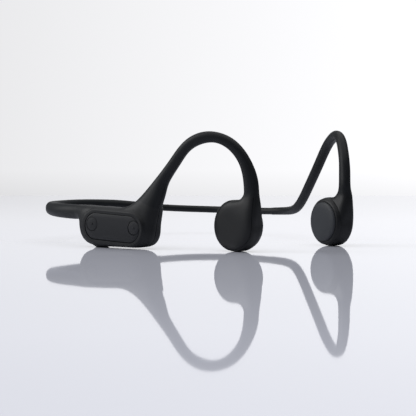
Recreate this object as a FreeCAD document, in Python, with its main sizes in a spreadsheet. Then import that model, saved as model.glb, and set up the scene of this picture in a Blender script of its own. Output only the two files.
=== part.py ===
import FreeCAD, Part
import math
import os
import Sketcher
from FreeCAD import Placement, Rotation, Vector

# Open-ear headphones with a neckband. X points forward, Y to the wearer's left, Z up, in millimetres.
# The set stands on three points: the boss under the right pod and the rims of both transducers.

doc = FreeCAD.newDocument("neckband_headphones")
sheet = doc.addObject("Spreadsheet::Sheet", "dims")

DIMENSIONS = [
    # control pod behind the right ear
    ("pod_length", 44.0), ("pod_height", 19.5), ("pod_half_depth", 6.0), ("pod_corner", 8.5),
    ("pod_edge", 3.2), ("pod_wall", 2.2), ("pod_joint", 0.4), ("pod_floor_gap", 0.6),
    ("screw_boss_radius", 1.7), ("screw_hole_radius", 0.8), ("screw_shank_radius", 0.7),
    ("screw_length", 7.0), ("screw_head_radius", 1.3), ("screw_head_depth", 0.9),
    ("screw_spread_x", 18.0), ("screw_spread_z", 4.5), ("screw_sink", 0.2),
    ("seal_width", 1.2), ("seal_inset", 0.5),
    # keypad on the pod's outer face
    ("panel_length", 34.0), ("panel_height", 13.4), ("panel_depth", 1.2), ("panel_corner", 6.6),
    ("panel_recess", 0.8), ("key_spread", 13.0), ("key_radius", 3.3), ("key_hole_radius", 3.5),
    ("key_depth", 1.0), ("key_well", 1.2), ("key_stand", 0.05), ("panel_gap", 0.2),
    ("stem_radius", 1.1), ("stem_hole_radius", 1.2), ("stem_length", 2.0), ("slip", 0.1),
    # power key in the boss under the pod
    ("boss_radius", 4.2), ("boss_depth", 2.8), ("boss_hole_radius", 2.6), ("boss_offset", 10.8),
    ("power_key_radius", 2.5), ("power_key_depth", 2.6), ("power_key_recess", 0.35),
    # what the pod holds
    ("board_length", 31.0), ("board_height", 12.0), ("board_depth", 1.0),
    ("cell_length", 26.0), ("cell_height", 11.0), ("cell_depth", 3.6), ("cell_lift", 0.6),
    ("shield_side", 8.0), ("shield_depth", 1.5), ("switch_side", 3.0), ("switch_depth", 1.6),
    ("antenna_length", 9.0), ("antenna_height", 3.0), ("antenna_depth", 0.8),
    ("antenna_forward", 9.0), ("antenna_lift", 5.0), ("board_back", 0.2), ("board_lift", 0.4),
    ("pin_radius", 1.0), ("pin_depth", 2.4), ("pin_spread", 2.5), ("pin_rise", 2.0), ("pin_slack", 0.02),
    ("charge_magnet_radius", 2.0), ("charge_magnet_depth", 1.6), ("charge_magnet_spread", 8.0),
    ("magnet_cover", 0.5),
    ("port_radius", 0.8), ("port_depth", 2.4), ("microphone_side", 3.0),
    ("microphone_depth", 1.1), ("microphone_back", 1.3), ("microphone_lift", 0.6), ("mesh_lift", 0.3),
    ("mesh_radius", 1.4), ("mesh_depth", 0.6), ("port_spread", 6.0),
    # band and hooks
    ("sleeve_radius", 1.9), ("bore_radius", 1.3),
    ("spring_wire_radius", 0.5), ("cable_radius", 0.4), ("wire_offset", 0.6), ("cable_offset", 0.6),
    ("flex_gap", 0.6),
    # transducer
    ("ring_radius", 12.2), ("ring_depth", 6.5), ("ring_bore", 10.4), ("ring_edge", 1.4),
    ("cap_radius", 11.4), ("cap_depth", 2.4), ("cap_edge", 2.0), ("spigot_depth", 1.0),
    ("spigot_radius", 10.3), ("spigot_bore", 9.4), ("cap_hollow", 0.9),
    ("plate_radius", 11.2), ("plate_depth", 1.2), ("plate_edge", 0.5),
    ("pad_radius", 8.4), ("pad_depth", 1.6), ("pad_edge", 1.1),
    ("gasket_depth", 0.6), ("spring_radius", 9.8), ("spring_depth", 0.3), ("spring_hole", 1.2),
    ("spring_gap", 0.9), ("coil_gap", 0.3),
    ("spring_hole_circle", 6.5),
    ("yoke_radius", 7.6), ("yoke_bore", 6.6), ("yoke_depth", 3.8), ("yoke_floor", 1.0),
    ("magnet_radius", 4.6), ("magnet_depth", 2.0), ("pole_depth", 0.8),
    ("coil_radius", 6.1), ("coil_bore", 5.2), ("coil_depth", 2.1),
]
for row, (alias, number) in enumerate(DIMENSIONS, start=1):
    sheet.set(f"A{row}", alias)
    sheet.set(f"B{row}", str(number))
    sheet.setAlias(f"B{row}", alias)
doc.recompute()

nodes = []


def size(alias):
    """The number in the sheet's cell of that name."""
    return float(sheet.get(alias))


MIDDLE = Vector(0.5, -0.2, 0)


def at(x, y, z):
    """A point, moved so that the origin is under the middle of the whole set."""
    return Vector(x, y, z) - MIDDLE


def keep(feature, label):
    """Names a finished sub-part, which is written to a file of its own."""
    feature.Label = label
    nodes.append(feature)
    return feature


# ---- sketched bodies -----------------------------------------------------------------------------


def new_body(name, place):
    body = doc.addObject("PartDesign::Body", name)
    body.Placement = place
    return body


def new_sketch(body, role, height=0.0):
    """A sketch on one of the body's own origin planes, moved along the plane's normal."""
    sketch = body.newObject("Sketcher::SketchObject", body.Name + "_sketch")
    plane = next(f for f in body.Origin.OriginFeatures if f.Role == role)
    sketch.AttachmentSupport = [(plane, "")]
    sketch.MapMode = "FlatFace"
    sketch.AttachmentOffset = Placement(Vector(0, 0, height), Rotation())
    return sketch


def circle(sketch, radius, x=0.0, y=0.0):
    """A circle held at (x, y), its radius bound to an expression of the sheet."""
    index = sketch.addGeometry(Part.Circle(Vector(x, y, 0), Vector(0, 0, 1), 1.0))
    sketch.addConstraint(Sketcher.Constraint("DistanceX", index, 3, x))
    sketch.addConstraint(Sketcher.Constraint("DistanceY", index, 3, y))
    rule = sketch.addConstraint(Sketcher.Constraint("Radius", index, 1.0))
    sketch.setExpression(f"Constraints[{rule}]", radius)


def rectangle(sketch, width, height):
    """A rectangle about the sketch's origin, its two sides bound to expressions of the sheet."""
    corners = [Vector(i, j, 0) for i, j in ((-1, -1), (1, -1), (1, 1), (-1, 1))]
    first = None
    for start, end in zip(corners, corners[1:] + corners[:1]):
        index = sketch.addGeometry(Part.LineSegment(start, end))
        first = index if first is None else first
    for side in range(4):
        after = first + (side + 1) % 4
        sketch.addConstraint(Sketcher.Constraint("Coincident", first + side, 2, after, 1))
        kind = "Vertical" if side % 2 else "Horizontal"
        sketch.addConstraint(Sketcher.Constraint(kind, first + side))
    for kind, edge, expression in (("DistanceX", first, width), ("DistanceY", first + 1, height)):
        rule = sketch.addConstraint(Sketcher.Constraint(kind, edge, 1, edge, 2, 2.0))
        sketch.setExpression(f"Constraints[{rule}]", expression)
        rule = sketch.addConstraint(Sketcher.Constraint(kind, first, 1, -1.0))
        sketch.setExpression(f"Constraints[{rule}]", f"-({expression}) / 2")


def grow(body, kind, sketch, length, reverse=False):
    """A Pad or a Pocket of the sketch. A Pad runs along the sketch's normal, a Pocket against it."""
    feature = body.newObject("PartDesign::" + kind, f"{body.Name}_{kind.lower()}")
    feature.Profile = sketch
    feature.Reversed = reverse
    feature.setExpression("Length", length)
    doc.recompute()
    return feature


def round_edges(body, base, radius, chosen):
    """A fillet on the edges of the body whose middle point passes the test."""
    names = [
        f"Edge{number}"
        for number, edge in enumerate(base.Shape.Edges, start=1)
        if chosen(edge.valueAt((edge.FirstParameter + edge.LastParameter) / 2), edge)
    ]
    fillet = body.newObject("PartDesign::Fillet", body.Name + "_fillet")
    fillet.Base = (base, names)
    fillet.setExpression("Radius", radius)
    doc.recompute()
    return fillet


def along(axis):
    """A test for straight edges that run along an axis of the body."""
    def chosen(_, edge):
        return edge.Curve.TypeId == "Part::GeomLine" and abs(edge.Curve.Direction.dot(axis)) > 0.99
    return chosen


def disc(label, place, radius, depth, bore=None):
    """A round plate, standing on its own XY plane, with an optional hole through its middle."""
    body = new_body(label, place)
    outline = new_sketch(body, "XY_Plane")
    circle(outline, radius)
    if bore:
        circle(outline, bore)
    grow(body, "Pad", outline, depth)
    return body


def block(label, place, length, depth, height):
    """A plain box in the pod, of length along X, depth along Y from 0 inwards, centred in Z."""
    body = new_body(label, place)
    outline = new_sketch(body, "XZ_Plane")
    rectangle(outline, length, height)
    grow(body, "Pad", outline, depth, reverse=True)
    return body


# ---- routes: straight runs joined by tangent arcs ------------------------------------------------

BEND_SHARE = 0.45


def bends(points):
    """For each inner point of a route: where its arc starts, its middle and its end."""
    found = []
    for before, here, after in zip(points, points[1:], points[2:]):
        back, ahead = before - here, after - here
        reach = BEND_SHARE * min(back.Length, ahead.Length)
        back.normalize()
        ahead.normalize()
        half_turn = (math.pi - back.getAngle(ahead)) / 2
        radius = reach / math.tan(half_turn)
        inward = back + ahead
        inward.normalize()
        middle = here + inward * (radius / math.cos(half_turn) - radius)
        found.append((here + back * reach, middle, here + ahead * reach))
    return found


def route(name, points):
    """The wire that a tube follows."""
    edges = []
    last = points[0]
    for start, middle, end in bends(points):
        edges.append(Part.LineSegment(last, start).toShape())
        edges.append(Part.Arc(start, middle, end).toShape())
        last = end
    edges.append(Part.LineSegment(last, points[-1]).toShape())
    path = doc.addObject("Part::Feature", name)
    path.Shape = Part.Wire(edges)
    return path


def tube(name, path, radius):
    """A round bar swept along a route, from its first point to its last."""
    first = path.Shape.Edges[0]
    ring = doc.addObject("Part::Circle", name + "_section")
    ring.setExpression("Radius", radius)
    heading = first.tangentAt(first.FirstParameter)
    ring.Placement = Placement(first.valueAt(first.FirstParameter), Rotation(Vector(0, 0, 1), heading))
    bar = doc.addObject("Part::Sweep", name)
    bar.Sections = [ring]
    bar.Spine = (path, [f"Edge{number}" for number in range(1, len(path.Shape.Edges) + 1)])
    bar.Solid = True
    doc.recompute()
    return bar


def section(name, centre, heading, side, in_plane, across):
    """An oval across a limb. Its width along side is across, and in_plane at right angles to it."""
    oval = doc.addObject("Part::Ellipse", name)
    wide, narrow = max(in_plane, across), min(in_plane, across)
    oval.MajorRadius = wide / 2
    oval.MinorRadius = narrow / 2
    lift = heading.cross(side)
    major = lift if in_plane >= across else side
    oval.Placement = Placement(centre, Rotation(major, heading.cross(major), heading, "ZXY"))
    return oval


LONG_STRETCH = 8.0


def limb(name, points, sides, girths):
    """A loft through an oval at each end of a route, at the middle of each of its arcs and at the
    middle of each long straight stretch, where its girth is the mean of its neighbours'."""
    arcs = bends(points)
    stations = [(points[0], points[1] - points[0], sides[0], girths[0])]
    last = points[0]
    for (start, middle, end), side, girth in zip(arcs, sides[1:], girths[1:]):
        if (start - last).Length > LONG_STRETCH:
            mean = [(one + other) / 2 for one, other in zip(stations[-1][3], girth)]
            stations.append(((start + last) / 2, start - last, side, mean))
        stations.append((middle, end - start, side, girth))
        last = end
    stations.append((points[-1], points[-1] - points[-2], sides[-1], girths[-1]))
    ovals = []
    for number, (centre, heading, side, girth) in enumerate(stations):
        heading.normalize()
        flat = side - heading * side.dot(heading)
        flat.normalize()
        ovals.append(section(f"{name}_oval_{number}", centre, heading, flat, *girth))
    solid = doc.addObject("Part::Loft", name)
    solid.Sections = ovals
    solid.Solid = True
    doc.recompute()
    return solid


def without(label, base, *tools):
    """The base with each tool taken away in turn."""
    result = base
    for number, tool in enumerate(tools, start=1):
        cut = doc.addObject("Part::Cut", f"{label}_cut_{number}")
        cut.Base = result
        cut.Tool = tool
        result = cut
    doc.recompute()
    return keep(result, label)


def shifted(points, sides, distance):
    """A route moved sideways, for a wire that runs beside another one."""
    return [point + side * distance for point, side in zip(points, sides)]


# ---- control pod ---------------------------------------------------------------------------------

POD_TURN = 14.3
POD_CENTRE = at(12.2, -59.3, size("pod_height") / 2 + size("pod_floor_gap"))
INWARD = Vector(0, 1, 0)


def in_pod(x=0.0, y=0.0, z=0.0, spin=Rotation()):
    """A place in the pod: x towards its front, y towards the head, z up from its middle."""
    turn = Rotation(Vector(0, 0, 1), POD_TURN)
    return Placement(POD_CENTRE + turn.multVec(Vector(x, y, z)), turn.multiply(spin))


FACING_OUT = Rotation(Vector(1, 0, 0), 90)
MID_EDGE = 0.01


def pod_half(label, place, outward):
    """One half of the pod: a rounded tray with four screw bosses, open at the joint."""
    body = new_body(label, place)
    outline = new_sketch(body, "XZ_Plane")
    rectangle(outline, "dims.pod_length", "dims.pod_height")
    slab = grow(body, "Pad", outline, "dims.pod_half_depth", reverse=not outward)
    rounded = round_edges(body, slab, "dims.pod_corner", along(INWARD))
    depth = size("pod_half_depth")
    far_side = -depth if outward else depth
    round_edges(body, rounded, "dims.pod_edge", lambda p, _: abs(p.y - far_side) < MID_EDGE)
    hollow = new_sketch(body, "XZ_Plane")
    rectangle(hollow, "dims.pod_length - 2 * dims.pod_wall", "dims.pod_height - 2 * dims.pod_wall")
    grow(body, "Pocket", hollow, "dims.pod_half_depth - dims.pod_wall", reverse=outward)
    bosses = new_sketch(body, "XZ_Plane")
    holes = new_sketch(body, "XZ_Plane")
    for x in (-size("screw_spread_x"), size("screw_spread_x")):
        for z in (-size("screw_spread_z"), size("screw_spread_z")):
            circle(bosses, "dims.screw_boss_radius", x, z)
            circle(holes, "dims.screw_hole_radius", x, z)
    grow(body, "Pad", bosses, "dims.pod_half_depth - dims.pod_wall / 2", reverse=not outward)
    reach = "dims.pod_half_depth - dims.pod_wall" if outward else "dims.pod_half_depth"
    grow(body, "Pocket", holes, reach, reverse=outward)
    return body


def drill(name, place, radius, depth):
    """A round bar that stands along Z of its place, used to cut a hole."""
    bar = doc.addObject("Part::Cylinder", name)
    bar.setExpression("Radius", radius)
    bar.setExpression("Height", depth)
    bar.Placement = place
    return bar


outer_shell = pod_half("pod_outer_blank", in_pod(), True)
inner_cover = pod_half("pod_inner_blank", in_pod(y=size("pod_joint")), False)

recess = new_sketch(outer_shell, "XZ_Plane", size("pod_half_depth"))
rectangle(recess, "dims.panel_length + dims.panel_gap", "dims.panel_height + dims.panel_gap")
grow(outer_shell, "Pocket", recess, "dims.panel_recess")
wells = new_sketch(outer_shell, "XZ_Plane", size("pod_half_depth"))
stem_holes = new_sketch(outer_shell, "XZ_Plane", size("pod_half_depth"))
for x in (-size("key_spread"), size("key_spread")):
    circle(wells, "dims.key_hole_radius", x)
    circle(stem_holes, "dims.stem_hole_radius", x)
grow(outer_shell, "Pocket", wells, "dims.key_well")
grow(outer_shell, "Pocket", stem_holes, "dims.pod_half_depth")

# the keypad panel is a soft moulded plate with rounded ends, let into the outer face
panel = new_body("keypad_panel", in_pod(y=size("panel_recess") - size("pod_half_depth")))
plate = new_sketch(panel, "XZ_Plane")
rectangle(plate, "dims.panel_length", "dims.panel_height")
slab = grow(panel, "Pad", plate, "dims.panel_depth")
round_edges(panel, slab, "dims.panel_corner", along(INWARD))
openings = new_sketch(panel, "XZ_Plane")
for x in (-size("key_spread"), size("key_spread")):
    circle(openings, "dims.key_hole_radius", x)
grow(panel, "Pocket", openings, "dims.panel_depth", reverse=True)
keep(panel, "keypad_panel")

KEY_FACE = -(size("pod_half_depth") + size("panel_depth") - size("panel_recess") - size("key_stand"))
for label, x in (("volume_down_button", -size("key_spread")), ("volume_up_button", size("key_spread"))):
    back = KEY_FACE + size("key_depth")
    key = new_body(label, in_pod(x, back, 0, FACING_OUT))
    face = new_sketch(key, "XY_Plane")
    circle(face, "dims.key_radius")
    grow(key, "Pad", face, "dims.key_depth")
    stem = new_sketch(key, "XY_Plane")
    circle(stem, "dims.stem_radius")
    grow(key, "Pad", stem, "dims.stem_length", reverse=True)
    keep(key, label)

# the boss under the pod is a ring that carries the pod's weight; the power key sits inside it
boss_place = in_pod(-size("boss_offset"), size("pod_joint") / 2, -POD_CENTRE.z)
boss_tool = drill("boss_tool", boss_place, "dims.boss_radius", "dims.boss_depth + 1")
keep(disc("power_key_collar", boss_place, "dims.boss_radius", "dims.boss_depth",
          "dims.boss_hole_radius"), "power_key_collar")
power_place = in_pod(-size("boss_offset"), size("pod_joint") / 2,
                     size("power_key_recess") - POD_CENTRE.z)
keep(disc("power_button", power_place, "dims.power_key_radius", "dims.power_key_depth"), "power_button")

# microphone and status light look down through the pod's floor, ahead of the boss
floor_level = -size("pod_height") / 2
mesh_place = in_pod(size("port_spread"), size("pod_joint") / 2, floor_level)
light_place = in_pod(0, size("pod_joint") / 2, floor_level)
mesh_tool = drill("mesh_tool", mesh_place, "dims.mesh_radius", "dims.port_depth + 1")
light_tool = drill("light_tool", light_place, "dims.port_radius", "dims.port_depth + 1")
mesh_level = floor_level + size("mesh_lift")
keep(disc("microphone_mesh", in_pod(size("port_spread"), size("pod_joint") / 2, mesh_level),
          "dims.mesh_radius", "dims.mesh_depth"), "microphone_mesh")
keep(disc("status_light_pipe", light_place, "dims.port_radius", "dims.port_depth"),
     "status_light_pipe")
microphone_level = floor_level + size("pod_wall") + size("microphone_lift")
keep(block("microphone", in_pod(size("port_spread"), -size("microphone_back"), microphone_level),
           "dims.microphone_side", "dims.microphone_side", "dims.microphone_depth"), "microphone")

# board, radio can, switches, aerial and cell
BOARD_FRONT = -size("board_back") - size("board_depth")
BOARD_LIFT = size("board_lift")
keep(block("main_board", in_pod(0, BOARD_FRONT, BOARD_LIFT),
           "dims.board_length", "dims.board_depth", "dims.board_height"), "main_board")
keep(block("radio_shield", in_pod(0, BOARD_FRONT - size("shield_depth"), BOARD_LIFT),
           "dims.shield_side", "dims.shield_depth", "dims.shield_side"), "radio_shield")
antenna_place = in_pod(size("antenna_forward"), BOARD_FRONT - size("antenna_depth"), size("antenna_lift"))
keep(block("antenna", antenna_place,
           "dims.antenna_length", "dims.antenna_depth", "dims.antenna_height"), "antenna")
keep(block("battery_cell", in_pod(0, size("pod_joint") + size("slip"), size("cell_lift")),
           "dims.cell_length", "dims.cell_depth", "dims.cell_height"), "battery_cell")

switches = doc.addObject("Part::Compound", "button_switches")
switches.Links = [
    block(f"switch_{number}", in_pod(x, BOARD_FRONT - size("switch_depth"), 0),
          "dims.switch_side", "dims.switch_depth", "dims.switch_side")
    for number, x in enumerate((-size("key_spread"), size("key_spread")), start=1)
]
keep(switches, "button_switches")
power_switch_level = -size("board_height") / 2 + BOARD_LIFT - size("board_depth") / 2
keep(block("power_switch", in_pod(-size("boss_offset"), -size("microphone_back"), power_switch_level),
           "dims.switch_side", "dims.switch_side", "dims.board_depth"), "power_switch")

# two gilt contacts and two magnets hold the charging lead on the pod's inner face
inner_face = size("pod_half_depth") + size("pod_joint")
contacts = doc.addObject("Part::Compound", "charging_contacts")
contact_tools = []
contact_pins = []
for number, x in enumerate((-size("pin_spread"), size("pin_spread")), start=1):
    place = in_pod(x, inner_face, size("pin_rise"), FACING_OUT)
    contact_tools.append(drill(f"contact_tool_{number}", place, "dims.pin_radius", "dims.pin_depth"))
    contact_pins.append(drill(f"contact_pin_{number}", place, "dims.pin_radius - dims.pin_slack",
                              "dims.pod_wall - 2 * dims.slip"))
contacts.Links = contact_pins
magnets = doc.addObject("Part::Compound", "charging_magnets")
magnet_discs = []
magnet_tools = []
for number, x in enumerate((-size("charge_magnet_spread"), size("charge_magnet_spread")), start=1):
    place = in_pod(x, inner_face - size("magnet_cover"), size("pin_rise"), FACING_OUT)
    magnet_tools.append(drill(f"magnet_tool_{number}", place, "dims.charge_magnet_radius + dims.pin_slack",
                              "dims.pod_wall"))
    magnet_discs.append(drill(f"magnet_disc_{number}", place, "dims.charge_magnet_radius",
                              "dims.charge_magnet_depth"))
magnets.Links = magnet_discs
keep(contacts, "charging_contacts")
keep(magnets, "charging_magnets")

# the seal is a flat frame in the joint between the halves
seal = new_body("seal_blank", in_pod())
frame_outline = new_sketch(seal, "XZ_Plane")
rectangle(frame_outline, "dims.pod_length - 2 * dims.seal_inset",
          "dims.pod_height - 2 * dims.seal_inset")
slab = grow(seal, "Pad", frame_outline, "dims.pod_joint", reverse=True)
round_edges(seal, slab, "dims.pod_corner - dims.seal_inset", along(INWARD))
frame_hollow = new_sketch(seal, "XZ_Plane")
rectangle(frame_hollow, "dims.pod_length - 2 * (dims.seal_inset + dims.seal_width)",
          "dims.pod_height - 2 * (dims.seal_inset + dims.seal_width)")
grow(seal, "Pocket", frame_hollow, "dims.pod_joint")

# four screws go in from the head side; their heads sit in counterbores
screws = doc.addObject("Part::Compound", "cover_screws")
counterbores = []
screw_solids = []
for x in (-size("screw_spread_x"), size("screw_spread_x")):
    for z in (-size("screw_spread_z"), size("screw_spread_z")):
        number = len(screw_solids) + 1
        head_place = in_pod(x, inner_face - size("screw_sink"), z, FACING_OUT)
        counterbores.append(drill(f"counterbore_{number}", in_pod(x, inner_face, z, FACING_OUT),
                                  "dims.screw_head_radius + dims.slip",
                                  "dims.screw_head_depth + dims.screw_sink"))
        head = drill(f"screw_head_{number}", head_place, "dims.screw_head_radius",
                     "dims.screw_head_depth")
        shank = drill(f"screw_shank_{number}", head_place, "dims.screw_shank_radius",
                      "dims.screw_length")
        screw = doc.addObject("Part::Fuse", f"screw_{number}")
        screw.Base = head
        screw.Tool = shank
        screw_solids.append(screw)
screws.Links = screw_solids
keep(screws, "cover_screws")

# ---- band and hooks ------------------------------------------------------------------------------

HOOK_SPLAY = math.radians(22)
HOOK_ASIDE = Vector(math.sin(HOOK_SPLAY), math.cos(HOOK_SPLAY), 0)

ARM_POINTS = [(-3.5, -63.3, 16.7), (-22, -65, 16.9), (-51, -59, 17.6), (-68.5, -41, 18),
              (-77.5, -12, 17.8)]
JOINER_POINTS = [(-77.5, 0, 17.4), (-77.3, 9, 16.9), (-74.2, 21, 15.9)]
BAND_POINTS = [(-67, 41.5, 14.4), (-51, 58, 13.8), (-22, 64.8, 13.6)]
BEND_POINTS = [(-3, 67.6, 14.1), (14.5, 57.8, 16.6), (31, 52.1, 28.9)]
ROOT_POINTS = [(23.5, -57, 8), (26.3, -55.8, 18), (32.2, -52.8, 27.2)]
HOOK_POINTS = [(51, 47.2, 51.3), (61.5, 42, 55), (69, 37.7, 52.5), (76.3, 32.4, 42.3),
               (77.5, 31, 29), (74.5, 31, 19)]
TWIST = math.radians(1.0)


def placed(points):
    return [at(*point) for point in points]


def hook(hand):
    """The hook of one side. The band is twisted a little, so the left hook stands higher."""
    apex = max(z for _, _, z in HOOK_POINTS)
    rest = size("ring_radius")
    reached = False
    points = []
    for x, y, z in HOOK_POINTS:
        share = (z - rest) / (apex - rest) if reached else 1.0
        reached = reached or z == apex
        rise = hand * y * math.tan(TWIST) * share
        points.append(at(x, hand * y - (z - rest) * math.tan(TWIST), z + rise))
    return points


def band_sides(points):
    """At each point of a level route, the level direction away from the middle of the set."""
    ahead = points[1:] + [points[-1]]
    behind = [points[0]] + points[:-1]
    sides = []
    for before, after in zip(behind, ahead):
        side = Vector(0, 0, 1).cross(after - before)
        side.normalize()
        sides.append(side)
    return sides


def hook_sides(count, hand):
    return [Vector(HOOK_ASIDE.x, hand * HOOK_ASIDE.y, 0)] * count


right_route = placed(ROOT_POINTS) + hook(-1)
right_sides = hook_sides(len(right_route), -1)
long_route = placed(ARM_POINTS + JOINER_POINTS + BAND_POINTS + BEND_POINTS) + hook(1)
level_count = len(long_route) - len(HOOK_POINTS)
long_sides = band_sides(long_route[:level_count]) + hook_sides(len(HOOK_POINTS), 1)

arm_end = len(ARM_POINTS) + 1
joiner_end = len(ARM_POINTS) + len(JOINER_POINTS)
bend_start = joiner_end + len(BAND_POINTS)


def part_way(start, end, share):
    return start + (end - start) * share


# each limb is cut where its route is straight, at the middle of a run
nape = part_way(long_route[arm_end - 2], long_route[arm_end - 1], 0.5)
flex_point = part_way(long_route[joiner_end - 1], long_route[joiner_end], 0.5)
flex_heading = long_route[joiner_end] - long_route[joiner_end - 1]
flex_heading.normalize()
hook_start = part_way(long_route[bend_start - 1], long_route[bend_start], 0.75)

arm_route = long_route[:arm_end - 1] + [nape]
joiner_route = [nape] + long_route[arm_end - 1:joiner_end] + [flex_point]
sleeve_start = flex_point + flex_heading * size("flex_gap")
sleeve_route = [sleeve_start] + long_route[joiner_end:bend_start] + [hook_start]
left_route = [hook_start] + long_route[bend_start:]
left_sides = long_sides[bend_start - 1:]

right_bore = tube("right_bore", route("right_bore_path", right_route), "dims.bore_radius")
long_bore = tube("long_bore", route("long_bore_path", long_route), "dims.bore_radius")

# the pod's own outline, which the arm and the hook root are fitted against
envelope = new_body("pod_envelope", in_pod(y=size("pod_joint")))
outline = new_sketch(envelope, "XZ_Plane", -size("pod_half_depth"))
rectangle(outline, "dims.pod_length", "dims.pod_height")
slab = grow(envelope, "Pad", outline, "2 * dims.pod_half_depth + dims.pod_joint")
rounded = round_edges(envelope, slab, "dims.pod_corner", along(INWARD))
round_edges(envelope, rounded, "dims.pod_edge",
            lambda p, _: abs(abs(p.y + size("pod_joint") / 2) - size("pod_half_depth")
                             - size("pod_joint") / 2) < MID_EDGE)

without("pod_outer_shell", outer_shell, boss_tool, mesh_tool, light_tool, right_bore, long_bore)
without("pod_inner_cover", inner_cover, boss_tool, mesh_tool, light_tool, right_bore, long_bore,
        *contact_tools, *magnet_tools, *counterbores)
without("pod_seal", seal, boss_tool, mesh_tool, light_tool, right_bore, long_bore)

ARM_GIRTHS = [(9, 8), (7.4, 7), (6.6, 6), (5.8, 5.4), (5.6, 5.2), (5.6, 5.2)]
arm_blank = limb("arm_blank", arm_route, long_sides[:len(arm_route)], ARM_GIRTHS)
without("right_arm", arm_blank, envelope, long_bore)

JOINER_GIRTHS = [(5.6, 5.2), (5.6, 5.4), (5.4, 5.4), (4.8, 4.8), (4.4, 4.4)]
joiner_sides = long_sides[arm_end - 1:arm_end - 1 + len(joiner_route)]
joiner_blank = limb("joiner_blank", joiner_route, joiner_sides, JOINER_GIRTHS)
without("nape_joiner", joiner_blank, long_bore)

sleeve_bar = tube("sleeve_bar", route("sleeve_path", sleeve_route), "dims.sleeve_radius")
without("neckband_sleeve", sleeve_bar, long_bore)

LEG_GIRTHS = [(5, 4.8), (5, 4.8), (4.9, 4.8), (5.2, 4.9), (7, 5.4), (12, 6)]
LEFT_GIRTHS = [(3.8, 3.8), (4.2, 4.2), (4.6, 4.6), (4.8, 4.8)] + LEG_GIRTHS
RIGHT_GIRTHS = [(20, 8.8), (16.5, 9.4), (7.6, 7)] + LEG_GIRTHS


TOE_IN = math.radians(8)
TRANSDUCER_FORWARD = 68.3
TRANSDUCER_ASIDE = 31.0
RIM_MARGIN = 8.0


def transducer_place(hand, depth=0.0):
    """A place on a transducer's axis. Z points away from the head, and depth runs along it."""
    outward = Vector(math.sin(TOE_IN), hand * math.cos(TOE_IN), 0)
    upward = Vector(0, 0, 1)
    centre = at(TRANSDUCER_FORWARD, hand * TRANSDUCER_ASIDE, size("ring_radius"))
    turn = Rotation(upward.cross(outward), upward, outward, "ZYX")
    return Placement(centre + outward * depth, turn)


RING_BACK = -3.5
for hand, name, points, sides, girths in (
    (1, "left", left_route, left_sides, LEFT_GIRTHS),
    (-1, "right", right_route, right_sides, RIGHT_GIRTHS),
):
    blank = limb(f"{name}_hook_blank", points, sides, girths)
    rim = drill(f"{name}_rim", transducer_place(hand, RING_BACK - RIM_MARGIN), "dims.ring_radius",
                f"dims.ring_depth + {2 * RIM_MARGIN}")
    if hand > 0:
        without("left_hook", blank, rim, long_bore)
    else:
        without("right_hook", blank, rim, envelope, right_bore)

# the right hook's wires start at the pod's roof, above the board
wires = (
    ("memory_wire", long_route, long_sides, "wire_offset", "spring_wire_radius", 1),
    ("left_signal_cable", long_route, long_sides, "cable_offset", "cable_radius", -1),
    ("right_hook_wire", right_route[1:], right_sides[1:], "wire_offset", "spring_wire_radius", 1),
    ("right_signal_cable", right_route[1:], right_sides[1:], "cable_offset", "cable_radius", -1),
)
for label, points, sides, offset, radius, sign in wires:
    moved = shifted(points, sides, sign * size(offset))
    keep(tube(label, route(label + "_path", moved), f"dims.{radius}"), label)

# ---- transducers ---------------------------------------------------------------------------------

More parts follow.
